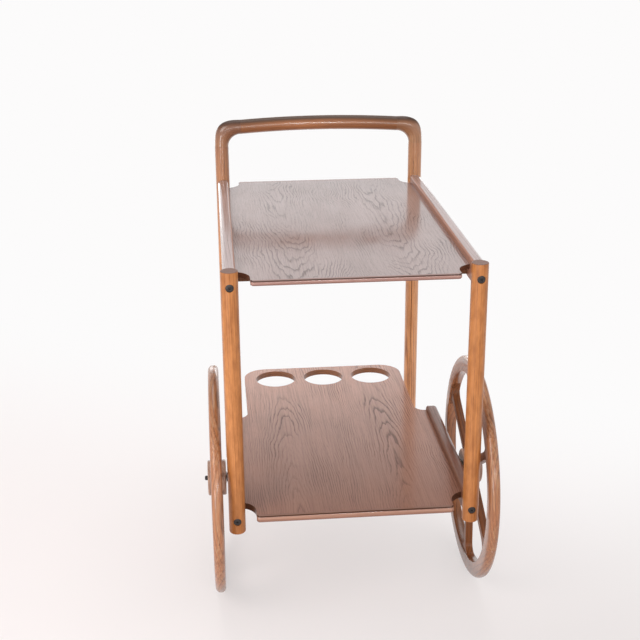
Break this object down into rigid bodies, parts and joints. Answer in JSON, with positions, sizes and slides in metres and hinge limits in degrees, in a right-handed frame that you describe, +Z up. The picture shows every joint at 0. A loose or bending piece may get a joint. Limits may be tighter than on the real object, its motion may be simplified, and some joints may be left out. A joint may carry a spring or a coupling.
{
  "type": "serving cart",
  "caption": "Two-tray wooden serving cart on two large spoked wheels and two rear legs, with a bent handle and bottle holes in the lower tray.",
  "frame": {"origin": "on the floor, under the middle of the cart's outline", "axes": "+Z up, +Y towards the handle and rear legs, +X to the right of a person who looks at the wheel end along +Y"},
  "size_m": [0.547, 0.7605, 0.8265],
  "materials": {
    "oak_frame": "honey-brown stained oak under satin lacquer",
    "tray_veneer": "dark stained crown-cut oak veneer under glossy lacquer",
    "lipping": "red-brown stained solid lipping under satin lacquer",
    "wheel_wood": "mid-brown stained hardwood under satin lacquer",
    "cleat_wood": "stained beech",
    "dowel_wood": "bare beech",
    "dark_steel": "black-oxidised steel, lightly oiled",
    "zinc_steel": "zinc-plated steel",
    "brass": "turned brass",
    "nylon": "plain nylon",
    "glide_plastic": "dark brown moulded plastic"
  },
  "bodies": {
    "frame": {"axle_cap_left": "dark_steel", "axle_cap_right": "dark_steel", "axle_insert_left": "brass", "axle_insert_right": "brass", "barrel_nuts": "zinc_steel", "cleat_dowels": "dowel_wood", "cleat_screws": "zinc_steel", "frame_bolts": "dark_steel", "front_post_left": "oak_frame", "front_post_right": "oak_frame", "handle_corner_left": "oak_frame", "handle_corner_right": "oak_frame", "handle_dowels": "dowel_wood", "handle_grip": "oak_frame", "leg_glides": "glide_plastic", "lower_cleat_front": "cleat_wood", "lower_cleat_rear": "cleat_wood", "lower_front_lip": "lipping", "lower_rail_left": "oak_frame", "lower_rail_right": "oak_frame", "lower_tray": "tray_veneer", "rail_dowels": "dowel_wood", "rear_leg_left": "oak_frame", "rear_leg_right": "oak_frame", "stub_axle_left": "dark_steel", "stub_axle_right": "dark_steel", "thrust_washer_left": "nylon", "thrust_washer_right": "nylon", "upper_cleat_front": "cleat_wood", "upper_cleat_rear": "cleat_wood", "upper_front_lip": "lipping", "upper_rail_left": "oak_frame", "upper_rail_right": "oak_frame", "upper_rear_lip": "lipping", "upper_tray": "tray_veneer"},
    "wheel_left": {"hub_core_left": "wheel_wood", "hub_disc_inner_left": "wheel_wood", "hub_disc_outer_left": "wheel_wood", "wheel_bush_left": "nylon", "wheel_rim_left": "wheel_wood", "wheel_spokes_left": "wheel_wood"},
    "wheel_right": {"hub_core_right": "wheel_wood", "hub_disc_inner_right": "wheel_wood", "hub_disc_outer_right": "wheel_wood", "wheel_bush_right": "nylon", "wheel_rim_right": "wheel_wood", "wheel_spokes_right": "wheel_wood"}
  },
  "joints": [
    {"name": "wheel_right_spin", "type": "hinge", "parent": "frame", "child": "wheel_right", "pos_m": [0.25, -0.16175, 0.2185], "axis": [1, 0, 0], "continuous": true},
    {"name": "wheel_left_spin", "type": "hinge", "parent": "frame", "child": "wheel_left", "pos_m": [-0.25, -0.16175, 0.2185], "axis": [1, 0, 0], "continuous": true}
  ]
}
